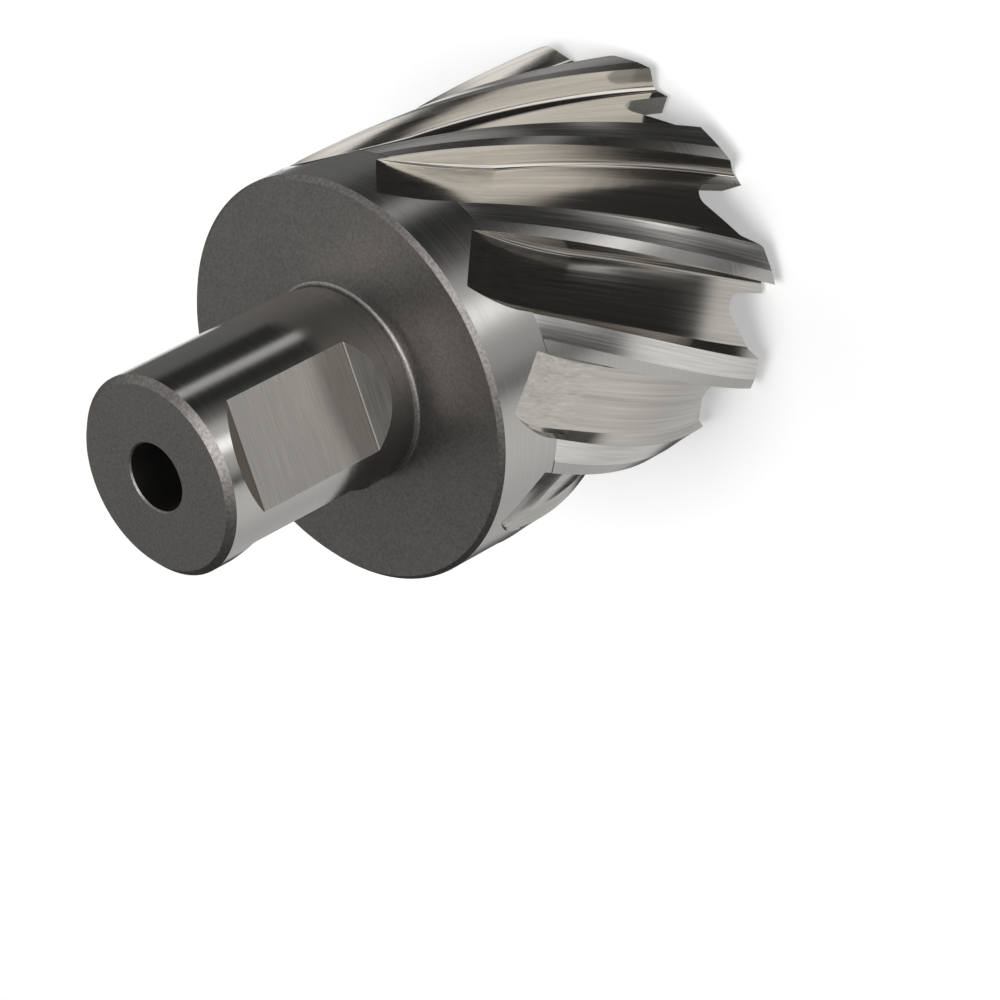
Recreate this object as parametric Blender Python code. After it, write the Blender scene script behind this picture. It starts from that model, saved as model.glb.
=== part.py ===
"""Annular cutter for magnetic drills: plain 19.05 mm shank with two set-screw flats, hollow fluted body.

The cutter stands on its teeth. The origin is on the axis in the plane of the tooth tips, and the shank
points up +Z. Seen from the shank it turns clockwise, and its flutes are a right-hand helix. One flat
faces -Y and the other -X.
"""

from math import acos, atan, ceil, cos, pi, radians, sin, sqrt, tan

import bmesh
import bpy
from mathutils import Matrix, Vector

MM = 0.001

# Overall sizes
LENGTH = 61.65 * MM
CUT_DIAMETER = 39.3 * MM
COLLAR_DROP = 0.05 * MM
COLLAR_BEVEL = 0.45 * MM

# Shank, bore and the undercut that lets the holder seat on the collar face
SHANK_DIAMETER = 19.05 * MM
SHANK_LENGTH = 23.4 * MM
SHANK_BEVEL = 0.66 * MM
BORE_DIAMETER = 6.5 * MM
BORE_BEVEL = 0.15 * MM
UNDERCUT_WIDTH = 2.3 * MM
UNDERCUT_DEPTH = 0.33 * MM
UNDERCUT_RADIUS = 0.45 * MM

# Cup that takes the slug
WALL = 4.45 * MM
CUP_DEPTH = 30.0 * MM
CUP_CORNER = 1.0 * MM

# Set-screw flats, a quarter turn apart
FLAT_DEPTH = 1.55 * MM
FLAT_SETBACK = 4.0 * MM
FLAT_LENGTH = 14.3 * MM
FLAT_RAMP = radians(36)

# Flutes: a steep wall behind the cutting edge, a rounded foot and a slanting floor up to the heel.
# The teeth come in pairs, a long one with a bevelled end and then a short one with a flatter end.
TOOTH_PAIRS = 5
FIRST_EDGE = radians(-74.4)
HELIX = radians(30)
FLUTE_DEPTH = 2.45 * MM
FLUTE_FOOT_RADIUS = 0.55 * MM
LAND_WIDTH = 3.8 * MM
MARGIN_WIDTH = 1.33 * MM
LAND_DROP = 0.2 * MM
HEEL_WIDTH = 0.8 * MM
HEEL_DEPTH = 1.15 * MM

# Run-out of the flutes in the collar, left by the grinding wheel as it lifts. The wheel bites a little
# deeper there, so its ramp meets the floor along a crease.
WHEEL_RADIUS = 45.0 * MM
LIFT_BITE = 0.15 * MM
RUN_OUT_GAP = 1.7 * MM
RUN_OUT_SKEW = 4.3 * MM
HEEL_SWEEP = 1.85 * MM
HEEL_CURVE = 2.2
FACET_TAPER = 3.0 * MM
FACET_TIP = 0.15
LAND_START = 7.17 * MM

# Crown: gullets and tooth ends
FACE_LEAD = 1.3 * MM
FACE_LEAN = radians(22)
GULLET_DEPTH = 5.5 * MM
GULLET_RADIUS = 1.2 * MM
GULLET_SLOPE = radians(25)
BACK_START = 4.2 * MM
BACK_SLOPE = radians(40)
END_CLEARANCE = radians(10)
END_LENGTH = 7.8 * MM
TOOTH_STEP = 0.45 * MM
LONG_OUTER_BEVEL = radians(32.5)
LONG_INNER_BEVEL = radians(15)
SHORT_OUTER_BEVEL = radians(14.5)

# Fineness of the curves, and the angle from which an edge is crisp
TURN_STEPS = 90
ARC_STEPS = 4
FOOT_STEPS = 7
FLOOR_STEPS = 4
STATION = 4.0 * MM
LIFT_STATION = 1.8 * MM
RUN_OUT_STATION = 1.1 * MM
CRISP = radians(16)

# How far the cutters reach past the blank: by the full room, or by a little beside a neighbour
ROOM = 2.5 * MM
NEAR = 0.4 * MM
SEAM = 0.02 * MM

STEEL_COLOUR = (0.42, 0.40, 0.37, 1)
STEEL_ROUGHNESS = 0.34

# Sizes that follow
CUT_RADIUS = CUT_DIAMETER / 2
COLLAR_RADIUS = CUT_RADIUS - COLLAR_DROP
SHANK_RADIUS = SHANK_DIAMETER / 2
CUP_RADIUS = CUT_RADIUS - WALL
COLLAR_TOP = LENGTH - SHANK_LENGTH
LAND_TOP = COLLAR_TOP - LAND_START
TWIST = tan(HELIX) / CUT_RADIUS
PITCH = pi / TOOTH_PAIRS
HEEL = PITCH * CUT_RADIUS - LAND_WIDTH
FOOT_RADIUS = CUT_RADIUS - FLUTE_DEPTH
RUN_OUT_TIP = COLLAR_TOP - RUN_OUT_GAP
WALL_TOP = RUN_OUT_TIP - RUN_OUT_SKEW
WHEEL_REACH = sqrt(2 * WHEEL_RADIUS * FLUTE_DEPTH)


def steel():
    """Ground high-speed steel."""
    material = bpy.data.materials.new("high_speed_steel")
    material.use_nodes = True
    shader = material.node_tree.nodes["Principled BSDF"]
    shader.inputs["Base Color"].default_value = STEEL_COLOUR
    shader.inputs["Metallic"].default_value = 1
    shader.inputs["Roughness"].default_value = STEEL_ROUGHNESS
    return material


def add_object(name, mesh_builder):
    """Make an object from a filled bmesh, with its faces pointing out."""
    bmesh.ops.recalc_face_normals(mesh_builder, faces=mesh_builder.faces)
    mesh = bpy.data.meshes.new(name)
    mesh_builder.to_mesh(mesh)
    mesh_builder.free()
    made = bpy.data.objects.new(name, mesh)
    bpy.context.collection.objects.link(made)
    return made


def arc(centre, radius, start, end, steps=ARC_STEPS):
    """Points of a round corner in a profile, both ends included."""
    turns = [start + (end - start) * i / steps for i in range(steps + 1)]
    return [(centre[0] + radius * cos(a), centre[1] + radius * sin(a)) for a in turns]


def blank():
    """Turned blank: one closed profile of shank, collar, body, cup and bore, spun about the axis."""
    bore = BORE_DIAMETER / 2
    undercut = SHANK_RADIUS - UNDERCUT_DEPTH
    groove_top = COLLAR_TOP + UNDERCUT_WIDTH
    profile = [(bore, LENGTH - BORE_BEVEL), (bore + BORE_BEVEL, LENGTH)]
    profile += [(SHANK_RADIUS - SHANK_BEVEL, LENGTH), (SHANK_RADIUS, LENGTH - SHANK_BEVEL)]
    profile += [(SHANK_RADIUS, groove_top), (undercut, groove_top - UNDERCUT_DEPTH)]
    profile += arc((undercut + UNDERCUT_RADIUS, COLLAR_TOP + UNDERCUT_RADIUS), UNDERCUT_RADIUS, pi, 1.5 * pi)
    profile += [(COLLAR_RADIUS - COLLAR_BEVEL, COLLAR_TOP), (COLLAR_RADIUS, COLLAR_TOP - COLLAR_BEVEL)]
    profile += [(COLLAR_RADIUS, LAND_TOP), (CUT_RADIUS, LAND_TOP), (CUT_RADIUS, 0), (CUP_RADIUS, 0)]
    profile += arc((CUP_RADIUS - CUP_CORNER, CUP_DEPTH - CUP_CORNER), CUP_CORNER, 0, pi / 2)
    profile += [(bore, CUP_DEPTH)]

    builder = bmesh.new()
    points = [builder.verts.new((radius, 0, height)) for radius, height in profile]
    lines = [builder.edges.new((a, b)) for a, b in zip(points, points[1:] + points[:1])]
    bmesh.ops.spin(builder, geom=points + lines, cent=(0, 0, 0), axis=(0, 0, 1), angle=2 * pi,
                   steps=TURN_STEPS, use_merge=True, use_duplicate=False)
    return add_object("annular_cutter", builder)


def loft(builder, sections):
    """Join sections with the same number of points by flat triangles, and cap both ends."""
    rings = [[builder.verts.new(point) for point in section] for section in sections]
    for low, high in zip(rings, rings[1:]):
        for i in range(len(low)):
            j = (i + 1) % len(low)
            builder.faces.new((low[i], low[j], high[j]))
            builder.faces.new((low[i], high[j], high[i]))
    builder.faces.new(rings[0])
    builder.faces.new(rings[-1])


def flat_cutter():
    """Two wedges with ramped ends. Each leaves a flat floor whose ends run out on the round shank."""
    floor = SHANK_RADIUS - FLAT_DEPTH
    outside = SHANK_RADIUS + NEAR
    spread = (outside - floor) / tan(FLAT_RAMP)
    top = LENGTH - FLAT_SETBACK
    bottom = top - FLAT_LENGTH
    outline = [(floor, bottom), (floor, top), (outside, top + spread), (outside, bottom - spread)]
    builder = bmesh.new()
    for turn in (0, -pi / 2):
        spin = Matrix.Rotation(turn, 3, "Z")
        ends = [[spin @ Vector((x, -away, z)) for away, z in outline] for x in (-SHANK_RADIUS, SHANK_RADIUS)]
        loft(builder, ends)
    return add_object("flat_cutter", builder)


def flute_section(heel, crease):
    """Flute outline as (distance ahead of the cutting edge, depth): wall, foot, floor and heel facet."""
    foot_lean = atan((FLUTE_DEPTH - HEEL_DEPTH) / crease)
    centre = (FLUTE_FOOT_RADIUS, FLUTE_DEPTH - FLUTE_FOOT_RADIUS)
    foot = arc(centre, FLUTE_FOOT_RADIUS, pi, pi / 2 - foot_lean, FOOT_STEPS)
    floor = [chord(foot[-1], (crease, HEEL_DEPTH), i / FLOOR_STEPS) for i in range(1, FLOOR_STEPS + 1)]
    return foot + floor + [(heel, LAND_DROP)]


def chord(start, end, share):
    """A point on the straight line between two points given as (distance ahead, depth)."""
    first, last = [Vector(((CUT_RADIUS - d) * cos(s / CUT_RADIUS), (CUT_RADIUS - d) * sin(s / CUT_RADIUS)))
                   for s, d in (start, end)]
    point = first.lerp(last, share)
    turn = acos(point.x / point.length)
    return turn * CUT_RADIUS, CUT_RADIUS - point.length


def reach(height, ahead):
    """Share of its depth that the lifting wheel still reaches: none along one slanting line in the collar."""
    slant = Vector((RUN_OUT_SKEW, HEEL - HEEL_SWEEP - RUN_OUT_SKEW * tan(HELIX))).normalized()
    beyond = Vector((height - WALL_TOP, ahead - (height - WALL_TOP) * tan(HELIX)))
    inside = beyond.y * slant.x - beyond.x * slant.y
    return 1 - max(1 - inside / WHEEL_REACH, 0) ** 2


def heel_share(height):
    """How far the heel has opened: it curves in over the run-out and then follows the helix."""
    rise = max((height - WALL_TOP) / RUN_OUT_SKEW, 0)
    return 1 - HEEL_SWEEP / HEEL * rise ** HEEL_CURVE


def facet_share(height):
    """How much of the heel facet's width is there: it tapers towards the tip of the run-out."""
    return min(max((RUN_OUT_TIP - height) / FACET_TAPER, FACET_TIP), 1)


def flute_ring(height, edge):
    """One level section of a flute cutter, closed outside the body.

    Beside the lands it also takes the relief off the land ahead, down from the margin to the heel.
    """
    heel = HEEL * heel_share(height)
    crease = heel - HEEL_WIDTH * facet_share(height)
    ring = [(0, -ROOM)]
    for ahead, depth in flute_section(heel, crease):
        ring.append((ahead, min(depth, (depth + LIFT_BITE) * reach(height, ahead))))
    margin = PITCH * CUT_RADIUS - MARGIN_WIDTH
    if height <= LAND_TOP + SEAM:
        ring.append((margin, 0))
    else:
        ring[-1] = (heel, min(0, ring[-1][1]))
        ring.append((margin, -ROOM + NEAR))
    ring.append((margin, -ROOM))
    return [round_about(ahead, depth, edge + height * TWIST, height) for ahead, depth in ring]


def round_about(ahead, depth, turn, height):
    """Point of a level section: so far ahead of the cutting edge and so deep."""
    angle = turn - ahead / CUT_RADIUS
    return Vector(((CUT_RADIUS - depth) * cos(angle), (CUT_RADIUS - depth) * sin(angle), height))


def flute_cutter():
    """Helical cutters, one to a tooth, which follow the wheel from below the teeth to its run-out."""
    lift_start = WALL_TOP - WHEEL_REACH * cos(HELIX)
    top = RUN_OUT_TIP + RUN_OUT_GAP / 3
    heights = levels(-ROOM, lift_start, STATION)[:-1]
    heights += levels(lift_start, LAND_TOP + SEAM, LIFT_STATION)
    heights += levels(LAND_TOP + 2 * SEAM, top, RUN_OUT_STATION)
    builder = bmesh.new()
    for tooth in range(2 * TOOTH_PAIRS):
        edge = FIRST_EDGE + tooth * PITCH
        loft(builder, [flute_ring(height, edge) for height in heights])
    return add_object("flute_cutter", builder)


def levels(low, high, step):
    """Heights from low to high, evenly apart by no more than the step."""
    count = ceil((high - low) / step)
    return [low + (high - low) * i / count for i in range(count + 1)]


def gullet_outline():
    """Notch outline as (along the cut, height): a leaning tooth face, a round root and a long back slope."""
    face = Vector((sin(FACE_LEAN), cos(FACE_LEAN)))
    slope = Vector((cos(GULLET_SLOPE), sin(GULLET_SLOPE)))
    back = Vector((cos(BACK_SLOPE), sin(BACK_SLOPE)))
    rise = GULLET_DEPTH - GULLET_RADIUS
    centre = (rise * tan(FACE_LEAN) - GULLET_RADIUS / cos(FACE_LEAN), rise)
    root = arc(centre, GULLET_RADIUS, -FACE_LEAN, pi / 2 + GULLET_SLOPE, 2 * ARC_STEPS)
    last = Vector(root[-1])
    knee = last - slope * ((BACK_START + last.x) / slope.x)
    end = knee - back * ((knee.y + NEAR) / back.y)
    return [face * (-ROOM / face.y)] + root + [knee, end, (end.x, -ROOM)]


def gullet_cutter(name, first):
    """Every second notch through the wall, square to the axis."""
    outline = gullet_outline()
    builder = bmesh.new()
    for tooth in range(first, 2 * TOOTH_PAIRS, 2):
        spin = Matrix.Rotation(tip_angle(tooth), 3, "Z")
        ends = [[spin @ Vector((x, y, z)) for y, z in outline] for x in (CUP_RADIUS - ROOM, CUT_RADIUS + ROOM)]
        loft(builder, ends)
    return add_object(name, builder)


def tip_angle(tooth):
    """Where the point of a tooth stands, ahead of its flute wall."""
    return FIRST_EDGE + tooth * PITCH - FACE_LEAD / FOOT_RADIUS


def end_cutter(name, first, step, outer_bevel, inner_bevel):
    """Relief under every second tooth: a ridge at the flute foot, bevelled out and in, falling away behind."""
    inside = CUP_RADIUS - ROOM
    outside = CUT_RADIUS + ROOM
    builder = bmesh.new()
    for tooth in range(first, 2 * TOOTH_PAIRS, 2):
        sections = []
        for i in range(ARC_STEPS + 1):
            behind = -NEAR + (END_LENGTH + NEAR) * i / ARC_STEPS
            low = step + behind * tan(END_CLEARANCE)
            outline = [(inside, low + (FOOT_RADIUS - inside) * tan(inner_bevel)), (FOOT_RADIUS, low)]
            outline += [(outside, low + (outside - FOOT_RADIUS) * tan(outer_bevel))]
            outline += [(outside, -ROOM), (inside, -ROOM)]
            spin = Matrix.Rotation(tip_angle(tooth) + behind / FOOT_RADIUS, 3, "Z")
            sections.append([spin @ Vector((r, 0, z)) for r, z in outline])
        loft(builder, sections)
    return add_object(name, builder)


def cut(body, cutter):
    """Take a cutter away from the body and keep the cutter only as a guide."""
    taken = body.modifiers.new(cutter.name, "BOOLEAN")
    taken.operation = "DIFFERENCE"
    taken.object = cutter
    cutter.hide_render = True
    cutter.display_type = "WIRE"


def main():
    for old in list(bpy.data.objects):
        bpy.data.objects.remove(old)
    cutter = blank()
    cutter.data.materials.append(steel())
    cut(cutter, flat_cutter())
    cut(cutter, end_cutter("long_tooth_relief", 0, 0, LONG_OUTER_BEVEL, LONG_INNER_BEVEL))
    cut(cutter, end_cutter("short_tooth_relief", 1, TOOTH_STEP, SHORT_OUTER_BEVEL, 0))
    cut(cutter, gullet_cutter("long_tooth_gullet", 0))
    cut(cutter, gullet_cutter("short_tooth_gullet", 1))
    cut(cutter, flute_cutter())
    cutter.data.shade_smooth()
    cutter.data.set_sharp_from_angle(angle=CRISP)


main()
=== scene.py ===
from math import atan, atan2, ceil, cos, degrees, pi, radians, sin, sqrt, tan

import bmesh
import bpy
from mathutils import Matrix, Vector


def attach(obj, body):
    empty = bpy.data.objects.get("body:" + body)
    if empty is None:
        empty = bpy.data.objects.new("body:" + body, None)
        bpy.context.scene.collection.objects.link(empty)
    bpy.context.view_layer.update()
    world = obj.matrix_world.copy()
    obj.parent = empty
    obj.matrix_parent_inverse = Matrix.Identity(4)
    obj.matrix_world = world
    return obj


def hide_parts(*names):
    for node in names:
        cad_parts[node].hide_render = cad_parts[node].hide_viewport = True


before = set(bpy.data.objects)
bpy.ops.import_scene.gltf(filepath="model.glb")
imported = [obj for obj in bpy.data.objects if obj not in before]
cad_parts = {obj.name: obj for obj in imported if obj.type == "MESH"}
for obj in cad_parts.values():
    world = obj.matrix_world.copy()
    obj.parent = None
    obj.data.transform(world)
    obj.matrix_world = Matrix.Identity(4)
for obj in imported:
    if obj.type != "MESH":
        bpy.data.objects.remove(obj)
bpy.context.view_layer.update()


# The turned blank. The whole cutter is turned from one bar of high-speed steel: shank, undercut,
# collar and body outside, the cup for the slug and the pilot bore inside. It starts as the edge of
# the bore at the shank's end, which is extruded ring by ring along the turned profile.
MM = 0.001
LENGTH = 61.65 * MM
CUT_RADIUS = 19.65 * MM
COLLAR_RADIUS = 19.6 * MM
COLLAR_TOP = 38.25 * MM
COLLAR_BEVEL = 0.45 * MM
LAND_TOP = 31.08 * MM
SHANK_RADIUS = 9.525 * MM
SHANK_BEVEL = 0.66 * MM
UNDERCUT_WIDTH = 2.3 * MM
UNDERCUT_DEPTH = 0.33 * MM
UNDERCUT_CORNER = 0.45 * MM
BORE_RADIUS = 3.25 * MM
BORE_BEVEL = 0.15 * MM
CUP_RADIUS = 15.2 * MM
CUP_DEPTH = 30 * MM
CUP_CORNER = 1 * MM
CORNER_STEPS = 36
TURNS = 360
SLACK = 0.01 * MM
COOL = (0.60, 0.590, 0.565)
MATT = (0.185, 0.174, 0.165)
BEVEL = (0.31, 0.292, 0.277)
# The inside grey is darker than the other steels as painted shade in the bore and cup.
INSIDE_SHADE = (0.14, 0.132, 0.125)


class Wire:
    """A socket that takes part in sums: each sum adds its Math node and gives the wire of its result."""

    def __init__(self, graph, socket):
        self.graph = graph
        self.socket = socket

    def sum(self, operation, *others):
        return self.graph.node("ShaderNodeMath", {"operation": operation}, [self, *others])

    def __add__(self, other):
        return self.sum("ADD", other)

    def __radd__(self, other):
        return self.sum("ADD", other)

    def __mul__(self, other):
        return self.sum("MULTIPLY", other)

    def __rmul__(self, other):
        return self.sum("MULTIPLY", other)

    def __sub__(self, other):
        return self.sum("SUBTRACT", other)

    def __rsub__(self, other):
        return (self * -1).sum("ADD", other)

    def step(self, low, high):
        """0 below low, 1 above high and smooth between; low may be the larger."""
        settings = {"interpolation_type": "SMOOTHSTEP"}
        inputs = {"Value": self, "From Min": low, "From Max": high}
        return self.graph.node("ShaderNodeMapRange", settings, inputs)

    def window(self, low, high, soft):
        """1 between low and high, falling to 0 over the soft width on both sides."""
        return self.step(low - soft, low + soft) * self.step(high + soft, high - soft)


class Graph:
    """The node tree of one material or world."""

    def __init__(self, owner):
        owner.use_nodes = True
        self.tree = owner.node_tree

    def plug(self, socket, value):
        """Link a wire to a socket, or set the socket to a plain value."""
        if isinstance(value, Wire):
            self.tree.links.new(value.socket, socket)
        else:
            socket.default_value = value

    def node(self, kind, settings=None, inputs=None, output=0):
        """Add a node with its settings and its inputs, by name or in order, and give one output's wire."""
        made = self.tree.nodes.new(kind)
        for name, value in (settings or {}).items():
            setattr(made, name, value)
        pairs = inputs.items() if isinstance(inputs, dict) else enumerate(inputs or [])
        for name, value in pairs:
            self.plug(made.inputs[name], value)
        return Wire(self, made.outputs[output])

    def split(self, vector):
        """The x, y and z wires of a vector."""
        parts = self.node("ShaderNodeSeparateXYZ", inputs=[vector])
        return [Wire(self, socket) for socket in parts.socket.node.outputs]

    def join(self, x, y, z):
        return self.node("ShaderNodeCombineXYZ", inputs=[x, y, z])

    def noise(self, vector, scale=1.0, detail=2.0):
        """Smooth noise about 0.5, detail by detail finer."""
        return self.node("ShaderNodeTexNoise", inputs={"Vector": vector, "Scale": scale, "Detail": detail})


class Steel(Graph):
    """A finish of the cutter's steel: a metal whose colour, roughness and relief are drawn by wires."""

    def __init__(self, name):
        self.material = bpy.data.materials.new(name)
        super().__init__(self.material)
        self.shader = self.tree.nodes["Principled BSDF"]
        self.plug(self.shader.inputs["Metallic"], 1)
        self.place = self.node("ShaderNodeTexCoord", output="Object")
        self.x, self.y, self.z = self.split(self.place)

    def finish(self, colour, tone, roughness, relief, height):
        """Plug in the colour times the tone, the roughness and a relief of that height in metres."""
        shade = self.node("ShaderNodeVectorMath", {"operation": "SCALE"}, {0: colour, "Scale": tone})
        bump = self.node("ShaderNodeBump", inputs={"Height": relief, "Distance": height, "Strength": 1.0})
        self.plug(self.shader.inputs["Base Color"], shade)
        self.plug(self.shader.inputs["Roughness"], roughness)
        self.plug(self.shader.inputs["Normal"], bump)
        return self.material

    def turned(self, along, around, detail=3.0):
        """Marks that run round the axis: fine along it and long round it, in waves per metre."""
        return self.noise(self.join(self.x * around, self.y * around, self.z * along), detail=detail)


def corner(centre, radius, start, end, steps):
    """Points of a round corner, in degrees, both ends included."""
    turns = [radians(start + (end - start) * i / steps) for i in range(steps + 1)]
    return [(centre[0] + radius * cos(a), centre[1] + radius * sin(a)) for a in turns]


def edit(piece, kind="VERT"):
    """Open only this piece in edit mode, with nothing selected."""
    if bpy.context.object and bpy.context.object.mode == "EDIT":
        bpy.ops.object.mode_set(mode="OBJECT")
    bpy.ops.object.select_all(action="DESELECT")
    bpy.context.view_layer.objects.active = piece
    piece.select_set(True)
    bpy.ops.object.mode_set(mode="EDIT")
    bpy.ops.mesh.select_mode(type=kind)
    bpy.ops.mesh.select_all(action="DESELECT")


def pick(piece, kind, wanted):
    """In edit mode, select only the verts, edges or faces that the test wants."""
    bpy.ops.mesh.select_mode(type=kind)
    bpy.ops.mesh.select_all(action="DESELECT")
    shape = bmesh.from_edit_mesh(piece.data)
    for element in {"VERT": shape.verts, "EDGE": shape.edges, "FACE": shape.faces}[kind]:
        element.select = bool(wanted(element))
    shape.select_flush_mode()
    bmesh.update_edit_mesh(piece.data)


def settle(piece, name):
    """Merge double points, turn the faces outwards, close edit mode and put the place into the mesh."""
    bpy.ops.mesh.select_all(action="SELECT")
    bpy.ops.mesh.remove_doubles(threshold=1e-7)
    bpy.ops.mesh.normals_make_consistent(inside=False)
    bpy.ops.object.mode_set(mode="OBJECT")
    bpy.ops.object.transform_apply(location=True, rotation=True, scale=True)
    piece.name = name


undercut = SHANK_RADIUS - UNDERCUT_DEPTH
undercut_top = COLLAR_TOP + UNDERCUT_WIDTH
undercut_centre = (undercut + UNDERCUT_CORNER, COLLAR_TOP + UNDERCUT_CORNER)
cup_centre = (CUP_RADIUS - CUP_CORNER, CUP_DEPTH - CUP_CORNER)
profile = [(BORE_RADIUS, LENGTH - BORE_BEVEL), (BORE_RADIUS + BORE_BEVEL, LENGTH)]
profile += [(SHANK_RADIUS - SHANK_BEVEL, LENGTH), (SHANK_RADIUS, LENGTH - SHANK_BEVEL)]
profile += [(SHANK_RADIUS, undercut_top), (undercut, undercut_top - UNDERCUT_DEPTH)]
profile += corner(undercut_centre, UNDERCUT_CORNER, 180, 270, CORNER_STEPS)
profile += [(COLLAR_RADIUS - COLLAR_BEVEL, COLLAR_TOP), (COLLAR_RADIUS, COLLAR_TOP - COLLAR_BEVEL)]
profile += [(COLLAR_RADIUS, LAND_TOP), (CUT_RADIUS, LAND_TOP), (CUT_RADIUS, 0), (CUP_RADIUS, 0)]
profile += corner(cup_centre, CUP_CORNER, 0, 90, CORNER_STEPS)
profile += [(BORE_RADIUS, CUP_DEPTH), profile[0]]

bpy.ops.object.select_all(action="DESELECT")
bpy.ops.mesh.primitive_circle_add(vertices=TURNS, radius=BORE_RADIUS, location=(0, 0, profile[0][1]))
cutter = bpy.context.object
edit(cutter, "EDGE")
bpy.ops.mesh.select_all(action="SELECT")
for (radius, height), (new_radius, new_height) in zip(profile, profile[1:]):
    growth = new_radius / radius
    bpy.ops.mesh.extrude_region_move(TRANSFORM_OT_translate={"value": (0, 0, new_height - height)})
    bpy.ops.transform.resize(value=(growth, growth, 1), center_override=(0, 0, new_height))
settle(cutter, "fluted_cutter")


def ground_shank():
    """Ground round: near mirror, with fine marks round it."""
    steel = Steel("ground_shank")
    marks = steel.turned(9000, 40)
    return steel.finish(COOL, 0.85 + marks * 0.2, 0.1 + marks * 0.14, marks, 0.3e-6)


def turned_collar():
    """Turned and lightly ground: coarser marks round it."""
    steel = Steel("turned_collar")
    marks = steel.turned(6000, 25)
    return steel.finish(COOL, 0.85 + marks * 0.25, 0.18 + marks * 0.12, marks, 0.15e-6)


def matt_face():
    """Dull grey-brown scale from hardening, with a fine speckle."""
    steel = Steel("matt_face")
    speckle = steel.noise(steel.place, 3600, 4)
    cloud = steel.noise(steel.place, 160, 3)
    tone = 0.42 + speckle + cloud * 0.16
    return steel.finish(MATT, tone, 0.42 + speckle * 0.1, speckle, 5e-6)


def rough_bevel():
    """Turned bevel, lighter than the faces beside it."""
    steel = Steel("rough_bevel")
    speckle = steel.noise(steel.place, 3600, 4)
    return steel.finish(BEVEL, 0.3 + speckle * 1.3, 0.5, speckle, 5e-6)


def shaded_inside():
    """The bored inside and the cup, darker than the rest: painted shade for these deep recesses."""
    steel = Steel("shaded_inside")
    marks = steel.turned(3000, 20)
    return steel.finish(INSIDE_SHADE, 0.8 + marks * 0.4, 0.45, marks, 2e-6)


turned = {"matt_end": matt_face(), "ground_shank": ground_shank(), "collar": turned_collar(),
          "bevel": rough_bevel(), "cup": shaded_inside()}
for material in turned.values():
    cutter.data.materials.append(material)
slots = list(turned)


def turned_zone(face):
    """Which turned finish a face of the blank has, by its place and normal."""
    radius = Vector(face.center[:2]).length
    height = face.center.z
    if radius < BORE_RADIUS + SLACK:
        return "cup"
    if abs(face.normal.z) > 0.99:
        return "matt_end" if height > COLLAR_TOP - SLACK else "cup"
    if height > COLLAR_TOP + SLACK:
        return "ground_shank" if abs(face.normal.z) < 0.05 else "bevel"
    if radius < CUP_RADIUS + SLACK:
        return "cup"
    return "bevel" if height > COLLAR_TOP - COLLAR_BEVEL else "collar"


for face in cutter.data.polygons:
    face.material_index = slots.index(turned_zone(face))


# The set-screw flats. Two pockets are milled in the shank a quarter turn apart, each with ramped
# ends, for the tips of the holder's screws. The cutter is a box that flares outwards.
FLAT_FLOOR = 7.975 * MM
FLAT_TOP = LENGTH - 4 * MM
FLAT_LENGTH = 14.3 * MM
FLAT_RAMP = radians(36)
FLAT_CORNER = 0.15 * MM
FLAT_CORNER_STEPS = 10
FLAT_GREY = (0.84, 0.804, 0.744)
# The ramps are the same milled steel as the flat floors; their darker grey is painted shade.
RAMP_SHADE_GREY = (0.36, 0.344, 0.318)
NEAR = 0.4 * MM
FLAT_HEIGHT = SHANK_RADIUS + NEAR - FLAT_FLOOR


def mill(body, tool):
    """Cut a tool's shape out of the body, which takes the tool's finish there."""
    edit(tool, "FACE")
    bpy.ops.mesh.select_all(action="SELECT")
    bpy.ops.mesh.quads_convert_to_tris()
    bpy.ops.object.mode_set(mode="OBJECT")
    bpy.ops.object.select_all(action="DESELECT")
    bpy.context.view_layer.objects.active = body
    bpy.ops.object.modifier_add(type="BOOLEAN")
    taken = body.modifiers[-1]
    taken.operation = "DIFFERENCE"
    taken.material_mode = "TRANSFER"
    taken.object = tool
    bpy.ops.object.modifier_apply(modifier=taken.name)
    bpy.data.objects.remove(tool)


def repeat(piece, count, angle):
    """Copy a piece round the axis and join the copies to it. The operator turns the other way."""
    copies = [piece]
    for i in range(1, count):
        bpy.ops.object.select_all(action="DESELECT")
        piece.select_set(True)
        bpy.context.view_layer.objects.active = piece
        bpy.ops.object.duplicate(linked=False)
        copies.append(bpy.context.object)
        bpy.ops.transform.rotate(value=-angle * i, orient_axis="Z", center_override=(0, 0, 0))
    for copy in copies:
        copy.select_set(True)
    bpy.context.view_layer.objects.active = piece
    bpy.ops.object.join()
    bpy.ops.object.transform_apply(location=True, rotation=True, scale=True)


bpy.ops.object.select_all(action="DESELECT")
flat_centre = (0, -FLAT_FLOOR - FLAT_HEIGHT / 2, FLAT_TOP - FLAT_LENGTH / 2)
flat_size = (2 * SHANK_RADIUS, FLAT_HEIGHT, FLAT_LENGTH)
bpy.ops.mesh.primitive_cube_add(size=1, location=flat_centre, scale=flat_size)
flat_tool = bpy.context.object
bpy.ops.object.transform_apply(location=True, rotation=True, scale=True)
edit(flat_tool)
pick(flat_tool, "FACE", lambda face: face.normal.y < -0.9)
bpy.ops.transform.resize(value=(1, 1, 1 + 2 * FLAT_HEIGHT / tan(FLAT_RAMP) / FLAT_LENGTH))
pick(flat_tool, "EDGE", lambda edge: all(abs(v.co.y + FLAT_FLOOR) < 1e-6 for v in edge.verts)
     and abs(edge.verts[0].co.z - edge.verts[1].co.z) < 1e-6)
bpy.ops.mesh.bevel(offset=FLAT_CORNER, segments=FLAT_CORNER_STEPS, affect="EDGES")
settle(flat_tool, "flat_tool")


def milled(name, colour, roughness):
    """Milled steel with clear straight marks across the shank."""
    steel = Steel(name)
    marks = steel.turned(6500, 260, 4)
    bands = steel.turned(1400, 30, 2)
    tone = 0.66 + marks * 0.5 + bands * 0.16
    return steel.finish(colour, tone, roughness + marks * 0.1, marks, 2e-6)


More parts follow.
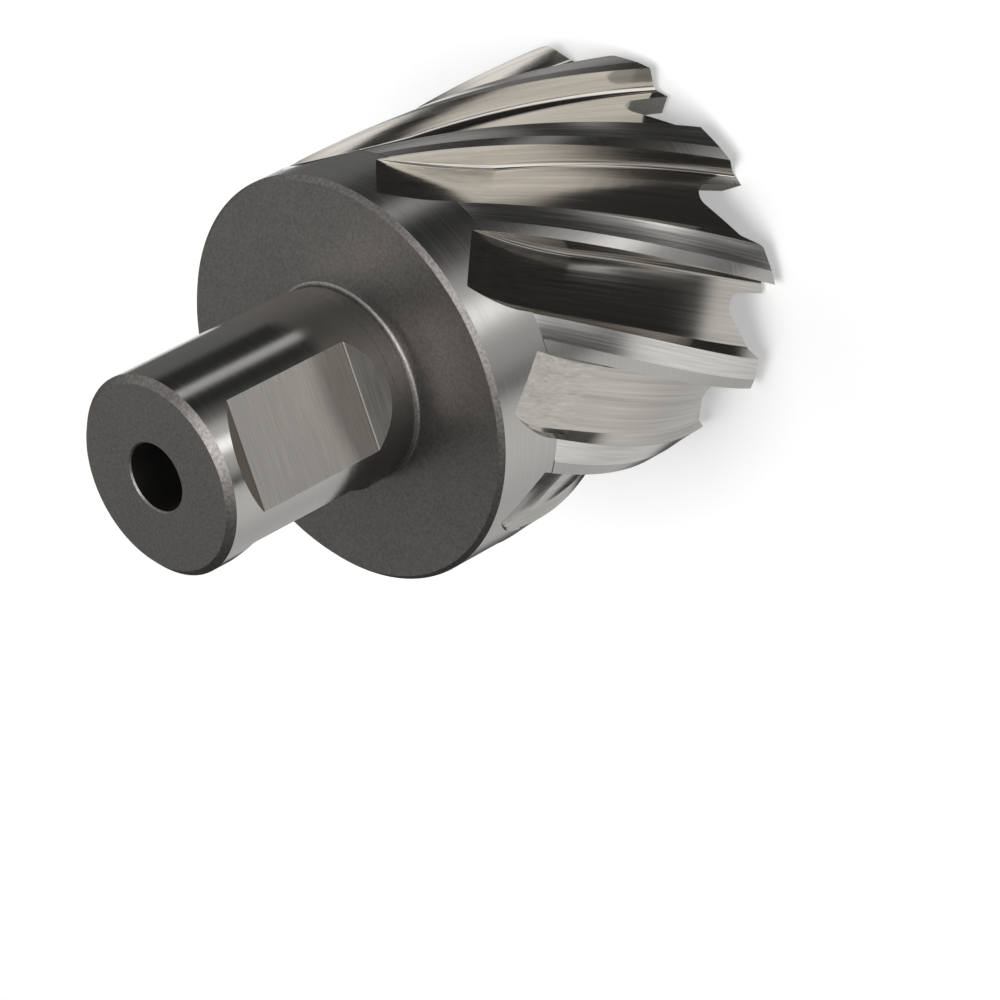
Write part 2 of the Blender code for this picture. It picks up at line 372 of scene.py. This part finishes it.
flat_tool.data.materials.append(milled("milled_flat", FLAT_GREY, 0.25))
flat_tool.data.materials.append(milled("milled_ramp_shaded", RAMP_SHADE_GREY, 0.26))
# Sloping faces, the ramps, take the darker copy of the milled steel: painted shade.
for face in flat_tool.data.polygons:
    face.material_index = int(abs(face.normal.z) > 0.08)
repeat(flat_tool, 2, -pi / 2)
mill(cutter, flat_tool)


# The tooth ends. Ten teeth alternate: a long one, bevelled out and in, and a short one with a flatter
# end. Each falls away behind its ridge, so the tool is a wedge swept round the axis as it rises.
TEETH = 10
PITCH = 2 * pi / TEETH
FIRST_EDGE = radians(-74.4)
FLUTE_DEPTH = 2.45 * MM
FOOT_RADIUS = CUT_RADIUS - FLUTE_DEPTH
FACE_LEAD = 1.3 * MM
FIRST_TIP = FIRST_EDGE - FACE_LEAD / FOOT_RADIUS
LONG_OUTER_BEVEL = radians(32.5)
LONG_INNER_BEVEL = radians(15)
SHORT_OUTER_BEVEL = radians(14.5)
SHORT_STEP = 0.45 * MM
END_CLEARANCE = radians(10)
END_BACK = 0.4 * MM
END_SWEEP = 8.2 * MM
END_STEPS = 16
ROOM = 2.5 * MM
REACH_IN = CUP_RADIUS - ROOM
REACH_OUT = CUT_RADIUS + ROOM
BELOW = -ROOM
TOOTH_GREY = (0.74, 0.715, 0.675)


def ground_tooth():
    """Ground tooth end and gullet: light, with a fine speckle."""
    steel = Steel("ground_tooth")
    speckle = steel.noise(steel.place, 5000, 3)
    return steel.finish(TOOTH_GREY, 0.7 + speckle * 0.6, 0.42, speckle, 2e-6)


TOOTH_FINISH = ground_tooth()


def plate(points):
    """A flat filled shape: a circle with as many corners, each moved to its point."""
    bpy.ops.object.select_all(action="DESELECT")
    bpy.ops.mesh.primitive_circle_add(vertices=len(points), radius=MM, fill_type="NGON")
    made = bpy.context.object
    for vertex, point in zip(made.data.vertices, points):
        vertex.co = point
    return made


def tooth_end_tool(first, step, outer_bevel, inner_bevel):
    """Relief tool for every second tooth, swept from just ahead of the tooth's point."""
    low = step - END_BACK * tan(END_CLEARANCE)
    inside = low + (FOOT_RADIUS - REACH_IN) * tan(inner_bevel)
    outside = low + (REACH_OUT - FOOT_RADIUS) * tan(outer_bevel)
    points = [(REACH_IN, inside), (FOOT_RADIUS, low), (REACH_OUT, outside)]
    points += [(REACH_OUT, BELOW), (REACH_IN, BELOW)]
    start = FIRST_TIP + first * PITCH - END_BACK / FOOT_RADIUS
    tool = plate([(r * cos(start), r * sin(start), z) for r, z in points])
    edit(tool, "FACE")
    bpy.ops.mesh.select_all(action="SELECT")
    move = END_SWEEP / END_STEPS
    for _ in range(END_STEPS):
        bpy.ops.mesh.extrude_region_move(TRANSFORM_OT_translate={"value": (0, 0, move * tan(END_CLEARANCE))})
        bpy.ops.transform.rotate(value=-move / FOOT_RADIUS, orient_axis="Z", center_override=(0, 0, 0))
    settle(tool, "tooth_end_tool")
    tool.data.materials.append(TOOTH_FINISH)
    repeat(tool, TEETH // 2, 2 * PITCH)
    return tool


mill(cutter, tooth_end_tool(0, 0, LONG_OUTER_BEVEL, LONG_INNER_BEVEL))
mill(cutter, tooth_end_tool(1, SHORT_STEP, SHORT_OUTER_BEVEL, 0))


# The gullets. A notch is ground through the wall in front of each tooth: a leaning tooth face, a
# round root and a long back slope up to the tooth ahead.
GULLET_DEPTH = 5.5 * MM
GULLET_RADIUS = 1.2 * MM
FACE_LEAN = radians(22)
GULLET_SLOPE = radians(25)
BACK_SLOPE = radians(40)
BACK_START = 4.2 * MM
GULLET_STEPS = 56

rise = GULLET_DEPTH - GULLET_RADIUS
root_centre = (rise * tan(FACE_LEAN) - GULLET_RADIUS / cos(FACE_LEAN), rise)
root = corner(root_centre, GULLET_RADIUS, -degrees(FACE_LEAN), 90 + degrees(GULLET_SLOPE), GULLET_STEPS)
last = Vector(root[-1])
knee = last - Vector((1, tan(GULLET_SLOPE))) * (BACK_START + last.x)
gullet = [(BELOW * tan(FACE_LEAN), BELOW)] + root
end = knee.x - (knee.y + NEAR) / tan(BACK_SLOPE)
gullet += [tuple(knee), (end, -NEAR), (end, BELOW)]


def gullet_tool(first):
    """Tool for every second gullet: the notch's outline, extruded outwards through the wall."""
    turn = Matrix.Rotation(FIRST_TIP + first * PITCH, 3, "Z")
    tool = plate([turn @ Vector((REACH_IN, y, z)) for y, z in gullet])
    edit(tool, "FACE")
    bpy.ops.mesh.select_all(action="SELECT")
    outwards = turn @ Vector((REACH_OUT - REACH_IN, 0, 0))
    bpy.ops.mesh.extrude_region_move(TRANSFORM_OT_translate={"value": outwards})
    settle(tool, "gullet_tool")
    tool.data.materials.append(TOOTH_FINISH)
    repeat(tool, TEETH // 2, 2 * PITCH)
    return tool


mill(cutter, gullet_tool(0))
mill(cutter, gullet_tool(1))


# The flutes. Ten right-hand helical flutes are ground along the body, each with a steep wall behind
# the cutting edge, a round foot and a slanting floor. The wheel lifts out in the collar, and the land
# behind each margin is ground a little lower.
HELIX = radians(30)
TWIST = tan(HELIX) / CUT_RADIUS
HEEL = PITCH * CUT_RADIUS - 3.8 * MM
HEEL_WIDTH = 0.8 * MM
HEEL_DEPTH = 1.15 * MM
LAND_DROP = 0.2 * MM
MARGIN = PITCH * CUT_RADIUS - 1.33 * MM
FLUTE_FOOT = 0.55 * MM
WHEEL_RADIUS = 45 * MM
LIFT_BITE = 0.15 * MM
RUN_OUT_TIP = COLLAR_TOP - 1.7 * MM
RUN_OUT_SKEW = 4.3 * MM
WALL_TOP = RUN_OUT_TIP - RUN_OUT_SKEW
HEEL_SWEEP = 1.85 * MM
HEEL_CURVE = 2.2
FACET_TAPER = 3 * MM
FACET_TIP = 0.15
WALL_STEPS = 6
FOOT_STEPS = 20
FLOOR_STEPS = 6
FACET_STEPS = 2
LAND_STEPS = 5
FLOOR_SHARES = [share / 200 for share in range(4, 197)]
FLUTE_STEP = 0.6 * MM
LIFT_STEP = 0.4 * MM
RUN_OUT_STEP = 0.25 * MM
RUN_OUT_END = RUN_OUT_TIP + 0.6 * MM
SEAM = 0.02 * MM
WHEEL_REACH = sqrt(2 * WHEEL_RADIUS * FLUTE_DEPTH)
CRISP = radians(3)
WARM = (0.60, 0.572, 0.528)
LAND_GREY = (0.82, 0.802, 0.767)


def round_about(ahead, depth, turn=0):
    """The point at a distance ahead of the cutting edge and at a depth, on a level circle."""
    angle = turn - ahead / CUT_RADIUS
    return Vector(((CUT_RADIUS - depth) * cos(angle), (CUT_RADIUS - depth) * sin(angle)))


def chord(start, end, share):
    """A point on the straight line between two points given as (ahead, depth)."""
    point = round_about(*start).lerp(round_about(*end), share)
    return -atan2(point.y, point.x) * CUT_RADIUS, CUT_RADIUS - point.length


def straight(start, end, steps):
    """Evenly spaced points of such a line, its start left out."""
    return [chord(start, end, i / steps) for i in range(1, steps + 1)]


def flute_outline(heel, crease, divide):
    """The flute's foot, floor and facet at full depth. The floor has a point at the divide."""
    lean = degrees(atan((FLUTE_DEPTH - HEEL_DEPTH) / crease))
    foot = corner((FLUTE_FOOT, FLUTE_DEPTH - FLUTE_FOOT), FLUTE_FOOT, 180, 90 - lean, FOOT_STEPS)
    end = (crease, HEEL_DEPTH)
    middle = chord(foot[-1], end, divide)
    floor = straight(foot[-1], middle, FLOOR_STEPS) + straight(middle, end, FLOOR_STEPS)
    return foot + floor + straight(end, (heel, LAND_DROP), FACET_STEPS)


def reach(height, ahead):
    """The share of its depth that the lifting wheel still reaches: none along a slanting line."""
    slant = Vector((RUN_OUT_SKEW, HEEL - HEEL_SWEEP - RUN_OUT_SKEW * tan(HELIX))).normalized()
    beyond = Vector((height - WALL_TOP, ahead - (height - WALL_TOP) * tan(HELIX)))
    inside = beyond.y * slant.x - beyond.x * slant.y
    return 1 - max(1 - inside / WHEEL_REACH, 0) ** 2


def ramp(height, ahead, depth):
    """How far the wheel's ramp is below the floor at this point."""
    return (depth + LIFT_BITE) * reach(height, ahead) - depth


def ramp_share(height, crease):
    """The share of the floor, from the foot up, that the lifting wheel leaves as its ramp."""
    for share in FLOOR_SHARES:
        depth = FLUTE_DEPTH + (HEEL_DEPTH - FLUTE_DEPTH) * share
        if ramp(height, crease * share, depth) > 0:
            return share
    return FLOOR_SHARES[-1]


def flute_ring(height):
    """One level section of the flute tool, closed outside the body."""
    heel = HEEL - HEEL_SWEEP * max((height - WALL_TOP) / RUN_OUT_SKEW, 0) ** HEEL_CURVE
    crease = heel - HEEL_WIDTH * min(max((RUN_OUT_TIP - height) / FACET_TAPER, FACET_TIP), 1)
    outline = flute_outline(heel, crease, ramp_share(height, crease))
    ring = [(ahead, depth + min(ramp(height, ahead, depth), 0)) for ahead, depth in outline]
    if height <= LAND_TOP + SEAM:
        ring += straight(ring[-1], (MARGIN, 0), LAND_STEPS)
    else:
        ring[-1] = (heel, min(0, ring[-1][1]))
        ring += straight(ring[-1], (MARGIN, BELOW + NEAR), LAND_STEPS)
    wall = [(0, BELOW)] + straight((0, BELOW), ring[0], WALL_STEPS)[:-1]
    ring = wall + ring + [(MARGIN, BELOW)]
    return [(*round_about(ahead, depth, FIRST_EDGE + height * TWIST), height) for ahead, depth in ring]


def levels(low, high, step):
    """Heights from low to high, evenly apart by no more than the step."""
    count = ceil((high - low) / step)
    return [low + (high - low) * i / count for i in range(count + 1)]


lift_start = WALL_TOP - WHEEL_REACH * cos(HELIX)
heights = levels(BELOW, lift_start, FLUTE_STEP)[:-1]
heights += levels(lift_start, LAND_TOP + SEAM, LIFT_STEP)
heights += levels(LAND_TOP + 2 * SEAM, RUN_OUT_END, RUN_OUT_STEP)
rings = [flute_ring(height) for height in heights]

# The first section is extruded straight up, and each copy of it is then moved to its own section. The
# copies keep the first one's x and y, which say which of its points each vertex is.
flute_tool = plate(rings[0])
edit(flute_tool, "FACE")
bpy.ops.mesh.select_all(action="SELECT")
for low, high in zip(heights, heights[1:]):
    bpy.ops.mesh.extrude_region_move(TRANSFORM_OT_translate={"value": (0, 0, high - low)})
bpy.ops.object.mode_set(mode="OBJECT")
corners = {tuple(flute_tool.data.vertices[i].co.xy): i for i in range(len(rings[0]))}
for i, vertex in enumerate(flute_tool.data.vertices):
    vertex.co = rings[i // len(corners)][corners[tuple(vertex.co.xy)]]
edit(flute_tool)
settle(flute_tool, "flute_tool")


class Fluted(Steel):
    """A finish whose marks follow the helix: its coordinates are turned back by the twist."""

    def __init__(self, name):
        super().__init__(name)
        turn = self.z * TWIST
        sine, cosine = turn.sum("SINE"), turn.sum("COSINE")
        self.across = [self.x * cosine + self.y * sine, self.y * cosine - self.x * sine]

    def streaks(self, across, along, detail=3.0):
        """Marks along the flutes: fine across them and long along them, in waves per metre."""
        u, v = self.across
        return self.noise(self.join(u * across, v * across, self.z * along), detail=detail)


def ground_flute():
    """Ground flute, near mirror with fine streaks along it."""
    steel = Fluted("ground_flute")
    streaks = steel.streaks(4200, 60, 4) * 0.6 + steel.streaks(1300, 15, 2) * 0.4
    return steel.finish(WARM, 0.45 + streaks * 1.1, 0.07 + streaks * 0.13, streaks, 1.2e-6)


def ground_land():
    """Ground land, a little duller than the flutes."""
    steel = Fluted("ground_land")
    streaks = steel.streaks(4500, 120, 3)
    return steel.finish(LAND_GREY, 0.66 + streaks * 0.68, 0.14 + streaks * 0.12, streaks, 0.5e-6)


flute_tool.data.materials.append(ground_flute())
flute_tool.data.materials.append(ground_land())
for face in flute_tool.data.polygons:
    x, y, height = face.center
    ahead = (FIRST_EDGE + height * TWIST - atan2(y, x)) % (2 * pi) * CUT_RADIUS
    face.material_index = int(HEEL < ahead < MARGIN)
repeat(flute_tool, TEETH, PITCH)
mill(cutter, flute_tool)

bpy.ops.object.select_all(action="DESELECT")
cutter.select_set(True)
bpy.context.view_layer.objects.active = cutter
bpy.ops.object.shade_smooth_by_angle(angle=CRISP)
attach(cutter, "root")
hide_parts("annular_cutter")


# The floor is a plain white table, lit softly. The camera sees it white, with the cutter's shadow. It
# isn't seen in reflections, where the studio's low panels stand for what the steel sees below it.
TABLE_GLOW = 0.42
bpy.ops.object.select_all(action="DESELECT")
bpy.ops.mesh.primitive_plane_add(size=3)
floor = bpy.context.object
floor.name = "floor"
white_table = bpy.data.materials.new("white_table")
table = Graph(white_table)
paper = table.tree.nodes["Principled BSDF"]
table.plug(paper.inputs["Base Color"], (0.8, 0.8, 0.8, 1))
table.plug(paper.inputs["Roughness"], 0.9)
seen = table.node("ShaderNodeLightPath", output="Is Camera Ray")
table.plug(paper.inputs["Emission Color"], table.join(seen, seen, seen))
table.plug(paper.inputs["Emission Strength"], TABLE_GLOW)
floor.data.materials.append(white_table)
floor.visible_glossy = False


# The studio is a ring of soft panels round the cutter, on a dark ground. Each is a patch of the sky,
# given by its bearing in degrees and by the height of its direction, from -1 straight down to 1.
GROUND_LIGHT = 0.03
OPEN = 1.2
# strength, bearing from, to and softness, height from, to and softness; OPEN is past the sky's end
PANELS = [
    (0.52, 130, 236, 5, -OPEN, -0.5, 0.08),
    (0.16, 185, 236, 20, -OPEN, -0.5, 0.08),
    (0.5, 200, 232, 16, -0.5, 0.3, 0.1),
    (2.0, 275, 289, 6, -0.67, -0.58, 0.03),
    (0.8, 247, 307, 9, -0.67, -0.58, 0.03),
    (0.4, 264, 320, 12, -0.58, -0.36, 0.03),
    (1.2, 240, 290, 12, -0.09, 0.4, 0.07),
    (1.3, 273, 290, 7, -0.36, -0.04, 0.06),
    (0.6, 348, 360, 4, -0.67, -0.5, 0.03),
    (0.12, 30, 75, 6, -0.7, OPEN, 0.03),
    (0.3, 20, 70, 6, -0.71, -0.67, 0.03),
    (0.9, 80, 112, 5, -0.72, -0.55, 0.03),
    (0.9, 15, 105, 20, 0.375, OPEN, 0.175),
]

studio = bpy.data.worlds.new("studio")
bpy.context.scene.world = studio
sky = Graph(studio)
background = sky.tree.nodes["Background"]
x, y, height = sky.split(sky.node("ShaderNodeTexCoord", output="Generated"))
bearing = (y.sum("ARCTAN2", x) * (180 / pi) + 360).sum("MODULO", 360)
light = GROUND_LIGHT
for strength, low, high, soft, bottom, top, edge in PANELS:
    light = light + bearing.window(low, high, soft) * height.window(bottom, top, edge) * strength
sky.plug(background.inputs["Color"], sky.join(light, light, light))


# The camera looks down on the standing cutter, rolled as the photograph is. One large soft lamp above
# lights the matt faces and lays the shadow.
LAMP_PLACE = (0.1, -0.3, 0.9)

view = bpy.data.cameras.new("camera")
view.lens = 185.28
camera = bpy.data.objects.new("camera", view)
bpy.context.collection.objects.link(camera)
camera.location = (0.0885007, -0.3576083, 0.3214719)
camera.rotation_euler = [radians(turn) for turn in (-31.2853, 43.3006, -115.1164)]
bpy.context.scene.camera = camera
bpy.context.scene.view_settings.view_transform = "Standard"

key = bpy.data.lights.new("key", "AREA")
key.shape = "DISK"
key.size = 0.6
key.energy = 6
lamp = bpy.data.objects.new("key", key)
bpy.context.collection.objects.link(lamp)
lamp.location = LAMP_PLACE
lamp.rotation_euler = Vector(LAMP_PLACE).to_track_quat("Z", "Y").to_euler()
